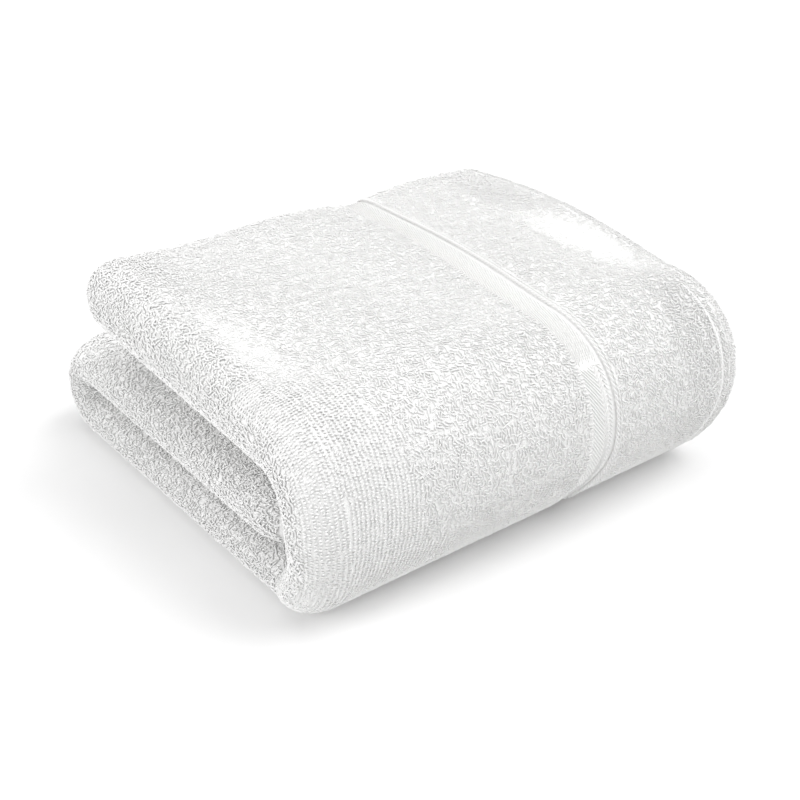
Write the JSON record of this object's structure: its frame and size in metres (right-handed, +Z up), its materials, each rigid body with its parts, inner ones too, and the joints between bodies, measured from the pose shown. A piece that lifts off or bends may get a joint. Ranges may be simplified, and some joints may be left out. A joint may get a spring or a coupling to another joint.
{
  "type": "folded hand towel",
  "caption": "Thick white terry hand towel folded into a soft square stack, with a rounded front fold and a woven border across its top and front.",
  "frame": {"origin": "middle of the footprint, on the surface that the towel lies on", "axes": "+X along the folded length towards the open end with the hems, -Y towards the big front fold, +Z up"},
  "size_m": [0.193, 0.1936, 0.0871],
  "materials": {
    "terry": "white cotton terry with uncut loops, matt, with a flat herringbone border"
  },
  "bodies": {
    "root": {"towel": "terry"}
  },
  "joints": []
}
